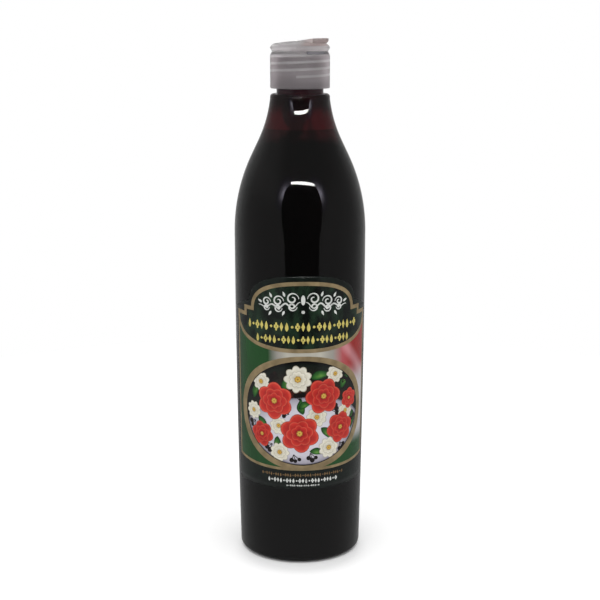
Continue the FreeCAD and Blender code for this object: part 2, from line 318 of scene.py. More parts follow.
def bottle_rows():
    """The bottle's whole profile, up its outside and down its inside."""
    heel_centre = (FOOT_R - HEEL_R, HEEL_R)
    corner_centre = (LEDGE_R - LEDGE_CORNER, LEDGE_Z - LEDGE_CORNER)
    rows = dome_rows(PUSH_UP_R, 0, PUSH_UP_H, 12) + straight_rows((PUSH_UP_R, 0), (heel_centre[0], 0), 2)
    rows += arc_rows(heel_centre, HEEL_R, -pi / 2, 0, 12)
    rows += wall_rows(0, HEEL_R, MOUTH_Z)
    rows += arc_rows(corner_centre, LEDGE_CORNER, 0, pi / 2, 10)
    rows += straight_rows((corner_centre[0], LEDGE_Z), (NECK_R, LEDGE_Z), 2)
    rows += straight_rows((NECK_R, LEDGE_Z), (NECK_R, MOUTH_Z - FINISH_ROUND), 84)
    rows += arc_rows((NECK_R - FINISH_ROUND, MOUTH_Z - FINISH_ROUND), FINISH_ROUND, 0, pi / 2, 6)
    rows += straight_rows((BORE_R, MOUTH_Z), (BORE_R, LEDGE_Z), 6)
    inner_r = HEEL_R - WALL
    inner = wall_rows(WALL, BASE_WALL + inner_r, MOUTH_Z)
    corner = arc_rows((FOOT_R - HEEL_R, BASE_WALL + inner_r), inner_r, 0, -pi / 2, 8)
    rows += inner[::-1] + corner + dome_rows(PUSH_UP_R, BASE_WALL, PUSH_UP_H, 12)[::-1]
    return tidy(rows)


def glaze_rows():
    """The contents: just inside the wall's inner face, with a level top that creeps up the wall."""
    inset = WALL - GLAZE_IN_WALL
    base_z = BASE_WALL - GLAZE_IN_WALL
    inner_r = HEEL_R - inset
    rows = dome_rows(PUSH_UP_R, base_z, PUSH_UP_H, 12)
    rows += arc_rows((FOOT_R - HEEL_R, base_z + inner_r), inner_r, -pi / 2, 0, 8)
    rows += wall_rows(inset, base_z + inner_r, FILL_Z)
    rim = rows[-1][0]
    for i in range(1, 9):
        away = (i / 8) ** 2 * MENISCUS_W
        rows.append((rim - away, FILL_Z - MENISCUS * (1 - math.exp(-away / MENISCUS))))
    return tidy(rows + [(0, FILL_Z - MENISCUS)])


def film_rows():
    """Glaze left on the wall and in the neck above the level, a thin skin that reaches into the wall."""
    wall = wall_rows(WALL - GLAZE_IN_WALL, BASE_WALL, MOUTH_Z)
    outer = [(r, z) for r, z in wall if z > FILL_Z - MENISCUS]
    neck_r = BORE_R + GLAZE_IN_WALL
    outer += straight_rows((neck_r, LEDGE_Z), (neck_r, MOUTH_Z - FILM_TOP_GAP), 8)
    inner = [(r - GLAZE_IN_WALL - FILM_THICK, z) for r, z in outer]
    return tidy(outer + inner[::-1])


# ======== label
ROUND_R = side_r((LABEL_LOW_Z + LABEL_TOP_Z - ARCH_H - STEP_H) / 2)
STEP_Z = LABEL_TOP_Z - ARCH_H
SIDE_Z = STEP_Z - STEP_H
FIELD_TOP_Z = SIDE_Z - FIELD_DROP


def on_label(s, z, height):
    """The point of the label at (s, z), height above the bottle's wall."""
    r = side_r(z) + height
    angle = s / ROUND_R
    return r * sin(angle), -r * cos(angle), z


def wrapped(name, flat, height):
    """Bends a drawing in (s, z, extra height) round the bottle, after cutting it into narrow strips."""
    for axis, step in ((0, CUT_ACROSS), (1, CUT_UP)):
        reach = [v.co[axis] for v in flat.verts]
        across = Vector((1 - axis, axis, 0))
        for i in range(math.ceil(min(reach) / step), math.floor(max(reach) / step) + 1):
            geom = flat.verts[:] + flat.edges[:] + flat.faces[:]
            place = across * i * step
            bmesh.ops.bisect_plane(flat, geom=geom, plane_co=place, plane_no=across, dist=REPEATED)
    for face in flat.faces:
        face.normal_update()
        if face.normal.z < 0:
            face.normal_flip()
    for vert in flat.verts:
        vert.co = Vector(on_label(vert.co.x, vert.co.y, height + vert.co.z)) * MM
    flat.normal_update()
    return from_bmesh(name, flat, smooth=True)


def arch(half, foot_z, rise):
    """The arch over the panel, from right to left."""
    edge = []
    for i in range(ARCH_STEPS + 1):
        angle = pi * i / ARCH_STEPS
        across = half * math.copysign(abs(cos(angle)) ** (2 / ARCH_POWER), cos(angle))
        edge.append((across, foot_z + rise * sin(angle) ** (2 / ARCH_POWER)))
    return edge


def mirrored(right, top):
    """A whole outline from its right half, upward, and its top, from right to left."""
    return right + top + [(-s, z) for s, z in reversed(right)]


def label_outline():
    step = ARCH_HALF + STEP_W
    right = [(LABEL_HALF, LABEL_LOW_Z), (LABEL_HALF, SIDE_Z), (step, SIDE_Z), (step, STEP_Z)]
    return mirrored(right, arch(ARCH_HALF, STEP_Z, ARCH_H))


def panel_outline():
    """The middle of the gold line round the dark upper panel: an arch, steps and a bowl-shaped foot."""
    half = LABEL_HALF - FRAME_INSET
    step = ARCH_HALF + STEP_W - FRAME_INSET
    step_z = STEP_Z - FRAME_INSET
    side_z = SIDE_Z - FRAME_INSET
    depth = side_z - PANEL_BOTTOM_Z
    right = []
    for i in range(ARCH_STEPS // 2 + 1):
        angle = pi / 2 * i / (ARCH_STEPS // 2)
        across = half * sin(angle) ** (2 / PANEL_POWER)
        right.append((across, side_z - depth * cos(angle) ** (2 / PANEL_POWER)))
    right += [(step, side_z), (step, step_z)]
    top = arch(ARCH_HALF - FRAME_INSET, step_z, LABEL_TOP_Z - ARCH_INSET - step_z)
    return mirrored(right[1:], top)


# ---- drawing on the flat label
def new_flat():
    """An empty drawing: a bmesh with the shading values that its points carry."""
    flat = bmesh.new()
    flat.verts.layers.float.new("rim")
    flat.verts.layers.float.new("tone")
    return flat


def fill(flat, outline):
    """A filled outline."""
    flat.faces.new([flat.verts.new((s, z, 0)) for s, z in outline])


def mitres(path, closed):
    """For each point of a path, the direction across it, longer at a corner."""
    points = [Vector(place) for place in path]
    found = []
    for i, here in enumerate(points):
        sides = []
        if closed or i > 0:
            sides.append(here - points[i - 1])
        if closed or i < len(points) - 1:
            sides.append(points[(i + 1) % len(points)] - here)
        normals = [Vector((-side.y, side.x)).normalized() for side in sides]
        total = normals[0] + normals[-1]
        found.append(total / max(SHARPEST_MITRE, total.dot(normals[0])))
    return found


def stroke(flat, path, width, closed=False, lift=0.0):
    """A line along a path. Its width is one number, or one for each point."""
    widths = width if isinstance(width, list) else [width] * len(path)
    pairs = []
    for (s, z), across, wide in zip(path, mitres(path, closed), widths):
        half = across * wide / 2
        pairs.append([flat.verts.new((s + side * half.x, z + side * half.y, lift)) for side in (-1, 1)])
    follow = pairs[1:] + pairs[:1] if closed else pairs[1:]
    for (a, b), (c, d) in zip(pairs, follow):
        flat.faces.new((a, c, d, b))


def blob(flat, outline, middle, lift=0.0, tone=0.0):
    """A filled fan. Its points carry rim, from 0 at the middle to 1 at the edge, and one tone."""
    rim = flat.verts.layers.float["rim"]
    tones = flat.verts.layers.float["tone"]
    ring = [flat.verts.new((s, z, lift)) for s, z in outline]
    centre = flat.verts.new((*middle, lift))
    for vert in ring:
        vert[rim] = 1.0
        vert[tones] = tone
    centre[tones] = tone
    for i, vert in enumerate(ring):
        flat.faces.new((centre, vert, ring[(i + 1) % len(ring)]))


def ellipse(s, z, half_w, half_h, steps=32):
    turns = [tau * i / steps for i in range(steps)]
    return [(s + half_w * cos(turn), z + half_h * sin(turn)) for turn in turns]


def leaf_outline(s, z, length, width, turn, bend=0.0):
    """A pointed leaf from its stalk at (s, z), turned in degrees and leaning to one side by bend."""
    lean = radians(turn)
    sides = ([], [])
    for i in range(LEAF_STEPS + 1):
        along = i / LEAF_STEPS
        half = width / 2 * sin(pi * along ** 0.8) * (1 - 0.25 * along)
        middle = bend * sin(pi * along)
        for side, points in zip((1, -1), sides):
            x, y = along * length, middle + side * half
            points.append(around(s, z, math.hypot(x, y), lean + math.atan2(y, x)))
    return sides[0] + sides[1][-2:0:-1]


def scroll(s, z, r_out, r_in, turns, start, hand):
    """A spiral path that winds in round (s, z), from an angle in degrees; hand is 1 or -1."""
    count = round(20 * turns)
    path = []
    for i in range(count + 1):
        along = i / count
        angle = radians(start) + hand * tau * turns * along
        path.append(around(s, z, r_out + (r_in - r_out) * along, angle))
    return path


def tapered(path, widest):
    """Widths along a path: widest in the middle and about a third of that at both ends."""
    last = len(path) - 1
    return [widest * (0.35 + 0.65 * sin(pi * i / last)) for i in range(last + 1)]


# ---- what is printed
def band_foot():
    """The lower edge of the coloured field, lowest in the middle, from left to right."""
    places = [FIELD_HALF * (2 * i / BAND_STEPS - 1) for i in range(BAND_STEPS + 1)]
    return [(s, BAND_Z + BAND_RISE * abs(s / FIELD_HALF) ** 3) for s in places]


def gold_lines():
    """Frame of the panel, the thin line round the field's sides and foot, and the oval ring."""
    flat = new_flat()
    stroke(flat, panel_outline(), GOLD_W, closed=True, lift=6 * MICRON)
    stroke(flat, [(-FIELD_HALF, FIELD_TOP_Z), *band_foot(), (FIELD_HALF, FIELD_TOP_Z)], THIN_GOLD_W)
    middle = [(a + b) / 2 for a, b in zip(OVAL_OUT, OVAL_IN)]
    ring = ellipse(0, OVAL_Z, *middle, OVAL_STEPS)
    widths = []
    for s, _ in ring:
        share = abs(s) / middle[0]
        widths.append((OVAL_OUT[1] - OVAL_IN[1]) * (1 - share) + (OVAL_OUT[0] - OVAL_IN[0]) * share)
    stroke(flat, ring, widths, closed=True, lift=3 * MICRON)
    return flat


def colour_fields():
    """The coloured field behind the frames, with its curved foot as a face of its own."""
    flat = new_flat()
    foot = band_foot()
    fill(flat, [foot[0], foot[-1], (FIELD_HALF, FIELD_TOP_Z), (-FIELD_HALF, FIELD_TOP_Z)])
    fill(flat, foot[::-1])
    return flat


def filled(outline):
    """A drawing of one outline, in triangles because it isn't convex."""
    flat = new_flat()
    fill(flat, outline)
    bmesh.ops.triangulate(flat, faces=flat.faces)
    return flat


FLOURISH_Z = 125.2
SCROLLS = ((4.8, 2.9, 1.3, 0.4), (11.3, 2.6, 1.35, -0.6), (17.0, 2.1, 1.3, -0.9))  # s, radius, turns, lift
LOWER_SCROLL = 0.72     # size of a lower scroll, a share of the upper one's
SCROLL_EYE = 0.22       # radius where a scroll ends, a share of that where it starts
SCROLL_APART = 0.62
SCROLL_W = 0.78
WAVE_W = 0.8
# s, z and direction in degrees
SPRIGS = ((8.2, 128.3, 70), (14.3, 127.6, 62), (19.4, 125.0, 28), (8.4, 121.8, -66), (14.6, 121.4, -58))
SPRIG_SIZE = (2.6, 1.2)  # length and width
BUD = (1.6, 0.95, 2.3)  # height over the middle, half width and half height
BEAD = (-3.9, 0.75, 0.75)


def flourish():
    """A scrolled ornament where a name would be: a middle bud with mirrored scrolls and small leaves."""
    flat = new_flat()
    for hand in (-1, 1):
        for s, r, turns, raised in SCROLLS:
            for up, size in ((1, r), (-1, r * LOWER_SCROLL)):
                z = FLOURISH_Z + raised + up * r * SCROLL_APART
                start = 180 if hand > 0 else 0
                path = scroll(hand * s, z, size, size * SCROLL_EYE, turns, start, -hand * up)
                stroke(flat, path, tapered(path, SCROLL_W), lift=2 * MICRON * up)
        wave = []  # sinks and dies away outward
        for i in range(41):
            s = 1.2 + 20.0 * i / 40
            wave.append((hand * s, FLOURISH_Z - 0.7 - 0.05 * s + 1.5 * sin(s * 0.98) * (1 - s / 30)))
        stroke(flat, wave, tapered(wave, WAVE_W), lift=4 * MICRON)
        for s, z, turn in SPRIGS:
            angle = turn if hand > 0 else 180 - turn
            blob(flat, leaf_outline(hand * s, z, *SPRIG_SIZE, angle), (hand * s, z), 6 * MICRON)
    for over, half_w, half_h in (BUD, BEAD):
        middle = (0, FLOURISH_Z + over)
        blob(flat, ellipse(*middle, half_w, half_h), middle, 6 * MICRON)
    return flat


def ornament_rows(*rows):
    """Rows of small ornaments, a leaf, a dot, a quatrefoil and a lozenge in turn, in place of words. Each
    row is its middle height, half width, height and pitch."""
    flat = new_flat()
    for z, half_w, height, pitch in rows:
        count = 2 * round(half_w / pitch)
        for i in range(count + 1):
            s = -half_w + 2 * half_w * i / count
            kind = i % 4
            if kind == 0:
                blob(flat, leaf_outline(s, z - height / 2, height, pitch * 0.75, 90), (s, z))
            elif kind == 1:
                blob(flat, ellipse(s, z, pitch * 0.26, pitch * 0.26, DOT_STEPS), (s, z))
            elif kind == 2:
                for place in ellipse(s, z, pitch * 0.28, height * 0.27, 4):
                    blob(flat, ellipse(*place, pitch * 0.21, height * 0.19, DOT_STEPS), place)
            else:
                blob(flat, ellipse(s, z, pitch * 0.36, height / 2, 4), (s, z))
    return flat


# ---- the picture in the oval
GROUND = (30.9, 25.4)   # half width and half height of the dark ground with its dark rim
PICTURE = (29.7, 24.5)  # and of the ellipse that the flowers stay in
PALE = (1.5, 64.0)      # middle of the pale soft field behind the lower flowers
PALE_HALF = (31.0, 17.5)
RED_FLOWERS = [         # s, z, radius and tone
    (-13.5, 79.3, 9.0, 0.0), (9.6, 81.6, 8.7, 0.2), (-1.6, 64.2, 9.4, 0.1), (18.6, 65.6, 7.6, 0.3),
    (-20.2, 62.6, 6.2, 0.35), (24.0, 78.6, 5.0, 0.1)]
CREAM_FLOWERS = [
    (-2.4, 90.0, 6.6, 0.0), (6.4, 71.8, 5.0, 0.2), (-11.4, 67.6, 4.4, 0.1), (12.4, 56.6, 5.2, 0.0),
    (-11.0, 54.8, 4.8, 0.2), (21.6, 73.0, 4.4, 0.3), (-25.0, 73.2, 4.4, 0.1), (-20.4, 87.6, 4.8, 0.0),
    (15.4, 91.6, 4.6, 0.1)]
NOTCH = 0.2             # depth of the notch between two petals, a share of the radius
PETAL_STEPS = 7
RING_LIFT = 4 * MICRON  # height of one ring of petals over the one below
RED_HEART = 0.16        # size of a flower's heart, a share of its radius
CREAM_HEART = 0.25
BERRY_SPRAYS = (        # foot and direction in degrees
    (-14.6, 58.4, -150), (3.4, 54.6, -75), (18.4, 58.2, -60), (-24.0, 68.4, -130), (-6.4, 73.4, 170),
    (13.6, 74.4, 5), (-11.4, 90.0, 165), (19.6, 86.6, 60), (24.6, 70.4, -50), (-4.4, 54.0, -75),
    (-1.6, 80.0, 95))
SPRAY_SPREAD = 34       # degrees between two stalks
STALK_LENGTH = (2.4, 3.6)
STALK_W = 0.34
BERRY_R = (0.9, 1.3)
BERRY_STEPS = 14
HERB_LEAVES = (         # stalk, length, width, direction in degrees and tone
    (-9.0, 84.0, 9.0, 4.4, 62, 0.3), (-25.0, 79.0, 9.5, 4.2, 64, 0.5), (3.0, 90.4, 11.0, 4.8, 8, 0.2),
    (18.5, 84.0, 9.5, 4.4, 52, 0.4), (-22.0, 71.0, 9.0, 4.2, -62, 0.2), (26.4, 72.6, 9.5, 4.2, -96, 0.4),
    (0.0, 73.2, 8.0, 4.0, 96, 0.1), (-12.0, 62.5, 8.0, 4.0, -104, 0.35), (8.4, 66.6, 9.0, 4.2, -50, 0.3),
    (3.0, 55.5, 8.0, 3.8, -14, 0.2), (-2.0, 76.0, 7.0, 3.6, 24, 0.45))
LEAF_BEND = 0.8


def in_picture(outline):
    """An outline kept inside the picture's ellipse."""
    kept = []
    for s, z in outline:
        shrink = 1 / max(1.0, math.hypot(s / PICTURE[0], (z - OVAL_Z) / PICTURE[1]))
        kept.append((s * shrink, OVAL_Z + (z - OVAL_Z) * shrink))
    return kept


def single(outline, middle, tone=0.0):
    """A drawing of one blob."""
    flat = new_flat()
    blob(flat, outline, middle, tone=tone)
    return flat


def rosette(s, z, r, petals, turn):
    """A round outline with one notch between each pair of petals."""
    outline = []
    count = petals * PETAL_STEPS
    for i in range(count):
        angle = tau * i / count
        out = r * (1 - NOTCH * (1 - abs(sin(petals * angle / 2))))
        outline.append(around(s, z, out, angle + turn))
    return outline


def flowers(places, petals, rings):
    """Flowers of nested rosettes, each turned against the one below."""
    flat = new_flat()
    for i, (s, z, r, tone) in enumerate(places):
        for k, share in enumerate(rings):
            turn = 0.6 * i + pi / petals * k
            blob(flat, in_picture(rosette(s, z, r * share, petals, turn)), (s, z), RING_LIFT * k, tone)
    return flat


def herb_leaves():
    """Green leaves that show between the flowers."""
    flat = new_flat()
    for i, (s, z, length, width, turn, tone) in enumerate(HERB_LEAVES):
        middle = around(s, z, length * 0.45, radians(turn))
        outline = in_picture(leaf_outline(s, z, length, width, turn, LEAF_BEND))
        blob(flat, outline, middle, RING_LIFT * (i % 3), tone)
    return flat


def hearts():
    """Golden hearts of the flowers."""
    flat = new_flat()
    for i, (s, z, r, tone) in enumerate(RED_FLOWERS + CREAM_FLOWERS):
        size = r * (RED_HEART if i < len(RED_FLOWERS) else CREAM_HEART)
        blob(flat, in_picture(rosette(s, z, size, 7, 0.4 * i)), (s, z), tone=tone)
    return flat


def berries():
    """Dark berries on thin stalks, in small sprays between the flowers."""
    flat = new_flat()
    rng = random.Random(5)
    for s, z, turn in BERRY_SPRAYS:
        for k in (-1, 0, 1):
            lean = radians(turn + SPRAY_SPREAD * k)
            length = rng.uniform(*STALK_LENGTH)
            tip = around(s, z, length, lean)
            stroke(flat, [(s, z), tip], STALK_W)
            size = rng.uniform(*BERRY_R)
            blob(flat, in_picture(ellipse(*tip, size, size, BERRY_STEPS)), tip, RING_LIFT)
    return flat


def label_film():
    """The label itself: a closed sheet with the arched outline."""
    obj = wrapped("label_film", filled(label_outline()), LABEL_FILM)
    solid = obj.modifiers.new("thick", "SOLIDIFY")
    solid.thickness = LABEL_FILM * MM
    solid.offset = -1
    return obj


# ======== hinge
WEB_LOW_Z, WEB_TOP_Z = [corner[2] for corner in corners_mm("hinge_strap")]
WEB_BEND = 0.55         # height above and below the hinge line over which the web bends
WEB_PROUD = 0.02        # how far it stands off the flats, to share no face with them
FLAT_IN = 0.2           # how far the flats lie inside the hinge line
WEB_W = 8.0
WEB_THICK = 0.35
WEB_ROWS = 26
WEB_COLUMNS = 8


def hinge_web(finish):
    """The thin web that joins cap base and lid behind the seam, in narrow rows so that it can bend."""
    out = Vector((HINGE.x, HINGE.y, 0)).normalized()
    along = Vector((-out.y, out.x, 0))
    inner_r = math.hypot(HINGE.x, HINGE.y) - FLAT_IN + WEB_PROUD
    inner = [out * inner_r + along * WEB_W * (0.5 - k / WEB_COLUMNS) for k in range(WEB_COLUMNS + 1)]
    section = inner + [place + out * WEB_THICK for place in reversed(inner)]
    verts, rings = [], []
    for _, z in straight_rows((0, WEB_LOW_Z), (0, WEB_TOP_Z), WEB_ROWS):
        rings.append(list(range(len(verts), len(verts) + len(section))))
        verts += [(place.x, place.y, z) for place in section]
    faces = ring_faces(rings)
    for ring, turn in ((rings[0], -1), (rings[-1], 1)):
        for k in range(WEB_COLUMNS):
            faces.append([ring[k], ring[k + 1], ring[-k - 2], ring[-k - 1]][::turn])
    web = new_object("hinge_web", verts, faces)
    web.data.materials.append(finish)
    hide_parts("hinge_strap")
    up = Vector((0, 0, WEB_BEND))
    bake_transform(web, "bottle", "lid", start=tuple((HINGE - up) * MM), end=tuple((HINGE + up) * MM))


# ======== nodes and materials
def screen(*levels):
    """A colour given as it shows on a screen, from 0 to 255, made linear."""
    return tuple(v / 3294.6 if v < 10.3 else ((v / 255 + 0.055) / 1.055) ** 2.4 for v in levels)


def shades(*given):
    """Stops of a colour ramp, each given as its place and its three screen levels."""
    return [(place, screen(*levels)) for place, *levels in given]


def material(name):
    """A new material and its node tree."""
    made = bpy.data.materials.new(name)
    made.use_nodes = True
    return made, made.node_tree


def connect(tree, slot, value):
    """Puts a number, a colour or another node's output into an input."""
    if isinstance(value, bpy.types.NodeSocket):
        tree.links.new(value, slot)
    elif slot.type == "RGBA":
        slot.default_value = (*value, 1)
    else:
        slot.default_value = value


def node(tree, kind, inputs=(), **settings):
    """A new node. Its inputs are given by number or name, each with what connect takes."""
    made = tree.nodes.new("ShaderNode" + kind)
    for key, value in settings.items():
        setattr(made, key, value)
    for key, value in dict(inputs).items():
        connect(tree, made.inputs[key], value)
    return made


def surface(tree, **inputs):
    """Fills inputs of a material's main shader; an underscore stands for the space in an input's name."""
    shader = tree.nodes["Principled BSDF"]
    for name, value in inputs.items():
        connect(tree, shader.inputs[name.replace("_", " ")], value)
    return shader


def glossy_print(tree, colour, roughness=0.22):
    surface(tree, Base_Color=colour, Roughness=roughness, IOR=1.5)


def dull(tree, colour, roughness=0.6):
    return surface(tree, Base_Color=colour, Roughness=roughness, Specular_IOR_Level=0.0)


def calc(tree, operation, *values):
    """A Math node on outputs or numbers; returns its output."""
    return node(tree, "Math", enumerate(values), operation=operation).outputs[0]


def times(tree, *values):
    """The product of outputs or numbers."""
    product = values[-1]
    for value in values[-2::-1]:
        product = calc(tree, "MULTIPLY", value, product)
    return product


def ease(tree, value, low, high, to_low=0.0, to_high=1.0):
    """A smooth step from to_low to to_high."""
    inputs = enumerate((value, low, high, to_low, to_high))
    return node(tree, "MapRange", inputs, interpolation_type="SMOOTHSTEP").outputs["Result"]


def ease_mm(tree, value, low, high, to_low=0.0, to_high=1.0):
    """The same for a value in metres between two places in millimetres."""
    return ease(tree, value, low * MM, high * MM, to_low, to_high)


def object_coords(tree):
    return node(tree, "TexCoord").outputs["Object"]


def xyz(tree, coords):
    return node(tree, "SeparateXYZ", {0: coords}).outputs[:]


def object_xyz(tree):
    """The object's own x, y and z in metres."""
    return xyz(tree, object_coords(tree))


def noise(tree, scale, detail=4.0, stretch=None):
    """Noise in the object's own metres; stretch scales its axes."""
    coords = object_coords(tree)
    if stretch:
        coords = node(tree, "Mapping", {"Vector": coords, "Scale": stretch}).outputs[0]
    return node(tree, "TexNoise", {"Vector": coords, "Scale": scale, "Detail": detail}).outputs["Fac"]


def ramp(tree, value, marks):
    """A colour ramp through (position, colour) stops."""
    made = node(tree, "ValToRGB", {"Fac": value})
    elements = made.color_ramp.elements
    while len(elements) < len(marks):
        elements.new(0.5)
    for element, (position, colour) in zip(elements, marks):
        element.position = position
        element.color = (*colour, 1)
    return made.outputs["Color"]


def greys(tree, value, low, dark, high):
    """Greys from dark to white, for multiplying a colour."""
    return ramp(tree, value, [(low, (dark, dark, dark)), (high, (1, 1, 1))])


def mix(tree, share, a, b, how="MIX"):
    """Mixes two colours, which are the node's inputs 6 and 7 and its output 2."""
    return node(tree, "Mix", {0: share, 6: a, 7: b}, data_type="RGBA", blend_type=how).outputs[2]


def attribute(tree, name):
    return node(tree, "Attribute", attribute_name=name).outputs["Fac"]


def bump(tree, height, strength):
    """A fine relief a fifth of a millimetre deep at most."""
    inputs = {"Strength": strength, "Distance": 0.2 * MM, "Height": height}
    return node(tree, "Bump", inputs).outputs["Normal"]


def glow(tree, strength, colour=(1, 1, 1)):
    return node(tree, "Emission", {"Strength": strength, "Color": colour}).outputs[0]


def show(tree, shader):
    connect(tree, tree.nodes["Material Output"].inputs["Surface"], shader)


def label_place(tree):
    """Distance round the bottle and height, in millimetres."""
    x, y, z = object_xyz(tree)
    turn = calc(tree, "ARCTAN2", x, times(tree, y, -1.0))
    return times(tree, turn, ROUND_R), times(tree, z, 1 / MM)


def clear_plastic():
    """Blown clear plastic: smooth, with a very faint uneven gloss."""
    made, tree = material("clear_plastic")
    uneven = noise(tree, 22.0, 2.0)
    surface(tree, Base_Color=(0.98, 0.98, 0.99), Transmission_Weight=1.0, IOR=1.5,
            Roughness=ease(tree, uneven, 0.0, 1.0, 0.015, 0.05), Normal=bump(tree, uneven, 0.02))
    return made


RED_DEPTH = 8.0         # how far under the level the glaze starts to turn red
RAGGED = 12.0           # how unevenly it does so


def red_share(tree, high_share):
    """Where the thin glaze shows red: patches near the level, fewer towards the ledge."""
    patches = ease(tree, noise(tree, 95.0, 3.0, (1, 1, 0.6)), 0.38, 0.56, 0.2, 1.0)
    height = object_xyz(tree)[2]
    centred = calc(tree, "ADD", height, -RAGGED / 2 * MM)
    ragged = calc(tree, "MULTIPLY_ADD", noise(tree, 120.0, 2.0), RAGGED * MM, centred)
    low = ease_mm(tree, ragged, FILL_Z - RED_DEPTH, FILL_Z + 0.5)
    high = ease_mm(tree, height, LEDGE_Z - 10.0, LEDGE_Z - 4.0, 1.0, high_share)
    return times(tree, patches, low, high)


def glaze_finish():
    """Near-black contents, red in patches just under the level."""
    made, tree = material("glaze")
    stops = [(0.35, (0.0003, 0.0002, 0.0002)), (0.65, (0.0012, 0.0005, 0.0005))]
    dark = ramp(tree, noise(tree, 30.0), stops)
    dull(tree, mix(tree, red_share(tree, 1.0), dark, screen(48, 12, 15)))
    return made


def film_finish():
    """The thin film above the level, red-brown in patches where it has run down."""
    made, tree = material("glaze_film")
    colour = ramp(tree, noise(tree, 140.0), shades((0.35, 9, 8, 9), (0.65, 20, 13, 14)))
    z = object_xyz(tree)[2]
    for foot_z, top_z, tint in (
        (LEDGE_Z - 1.2, LEDGE_Z - 0.2, screen(66, 44, 50)),
        (CAP_FOOT_Z + 0.5, CAP_FOOT_Z + 2.5, screen(26, 16, 20)),
    ):
        colour = mix(tree, ease_mm(tree, z, foot_z, top_z), colour, tint)
    dull(tree, mix(tree, red_share(tree, 0.2), colour, screen(70, 12, 17)))
    return made


def thread_bands(tree, x, y, z):
    """Where the cap's wall is lighter, over the laps of the thread: a helix of soft bands."""
    turn = calc(tree, "ARCTAN2", y, x)
    share = calc(tree, "FRACT", calc(tree, "MULTIPLY_ADD", turn, 1 / tau, -THREAD_START / tau))
    height = calc(tree, "MULTIPLY_ADD", z, 1 / (THREAD_PITCH * MM), -BAND_START_Z / THREAD_PITCH)
    lap = calc(tree, "SUBTRACT", height, share)
    off = calc(tree, "ABSOLUTE", calc(tree, "SUBTRACT", lap, calc(tree, "ROUND", lap)))
    band = ease(tree, off, 0.08, 0.26, 1.0, 0.0)
    first = ease(tree, lap, -0.5, -0.3)
    last = ease(tree, lap, BAND_LAPS + 0.3, BAND_LAPS + 0.5, 1.0, 0.0)
    return times(tree, band, first, last)


TINT_EDGE = 0.15        # half height over which the tab's tint and the painted shade in the thumb slot fade out


def towards_tab(tree, x, y, z, half_span, heights, radii, soft):
    """1 within half_span degrees of the tab's direction, between two heights and outside the radii."""
    ahead = calc(tree, "MULTIPLY_ADD", x, TAB_DIRECTION[0], times(tree, y, TAB_DIRECTION[1]))
    squares = calc(tree, "ADD", calc(tree, "POWER", x, 2.0), calc(tree, "POWER", y, 2.0))
    out = calc(tree, "SQRT", squares)
    near = cos(radians(half_span))
    facing = ease(tree, calc(tree, "DIVIDE", ahead, out), near - soft, near + soft)
    low_z, high_z = heights
    above = ease_mm(tree, z, low_z - TINT_EDGE, low_z + TINT_EDGE)
    below = ease_mm(tree, z, high_z - TINT_EDGE, high_z + TINT_EDGE, 1.0, 0.0)
    return times(tree, ease_mm(tree, out, *radii), facing, above, below)


def cap_finish():
    """Natural translucent plastic with a satin skin, lighter over the thread, with painted shade in the
    recessed thumb slot.
    """
    made, tree = material("cap_plastic")
    x, y, z = object_xyz(tree)
    stops = [(0.35, (0.70, 0.665, 0.675)), (0.65, (0.80, 0.77, 0.78))]
    colour = ramp(tree, noise(tree, 120.0), stops)
    wall = ease_mm(tree, z, DECK_Z - 2.6, DECK_Z - 1.0, 1.0, 0.0)
    foot = ease_mm(tree, z, CAP_FOOT_Z, CAP_FOOT_Z + 7.0, 0.45, 0.0)
    pale_lid = ease_mm(tree, z, DECK_Z + 0.1, DECK_Z + 1.5)
    tab = towards_tab(tree, x, y, z, 42.0, (LID_TOP_Z - 3.4, LID_TOP_Z + 1.0), (6.5, 11.5), 0.12)
    # painted shade darkens the recessed thumb slot under the tab
    painted_recess_shade = towards_tab(tree, x, y, z, 33.0, (DECK_Z - 1.2, DECK_Z + 0.25), (11.2, 11.6), 0.02)
    for share, tint in (
        (times(tree, wall, 0.62), (0.60, 0.53, 0.55)),
        (foot, (0.42, 0.40, 0.42)),
        (thread_bands(tree, x, y, z), (1.0, 0.97, 0.98)),
        (times(tree, pale_lid, 0.5), (0.92, 0.90, 0.90)),
        (times(tree, tab, 0.85), (0.60, 0.46, 0.44)),
        (times(tree, painted_recess_shade, 0.9), (0.07, 0.07, 0.09)),
    ):
        colour = mix(tree, share, colour, tint)
    skin = bump(tree, noise(tree, 900.0, 2.0), 0.15)
    surface(tree, Base_Color=colour, Transmission_Weight=0.83, IOR=1.35, Roughness=0.33, Normal=skin)
    return made


def two_tone(name, dark, light, scale, edges=(0.35, 0.65), detail=4.0, stretch=None, roughness=0.22):
    """A print that drifts between two screen colours."""
    made, tree = material(name)
    drift = noise(tree, scale, detail, stretch)
    glossy_print(tree, ramp(tree, drift, shades((edges[0], *dark), (edges[1], *light))), roughness)
    return made


def ink(name, worn, colour):
    """Ink of one colour, a little uneven."""
    return two_tone(name, worn, colour, 500.0, (0.25, 0.5))


DEEP, GREEN, GREY = (22, 56, 28), (30, 78, 34), (160, 156, 148)
WHITE, ROSE, RED = (202, 198, 184), (176, 84, 88), (168, 44, 40)
FIELD_W = 80.0          # width over which the colours change from left to right
FOLD = (0.73, 0.68, -86.1)  # a slanted line in the red: factors of s and z, and offset
FOLD_HALF = 4.0


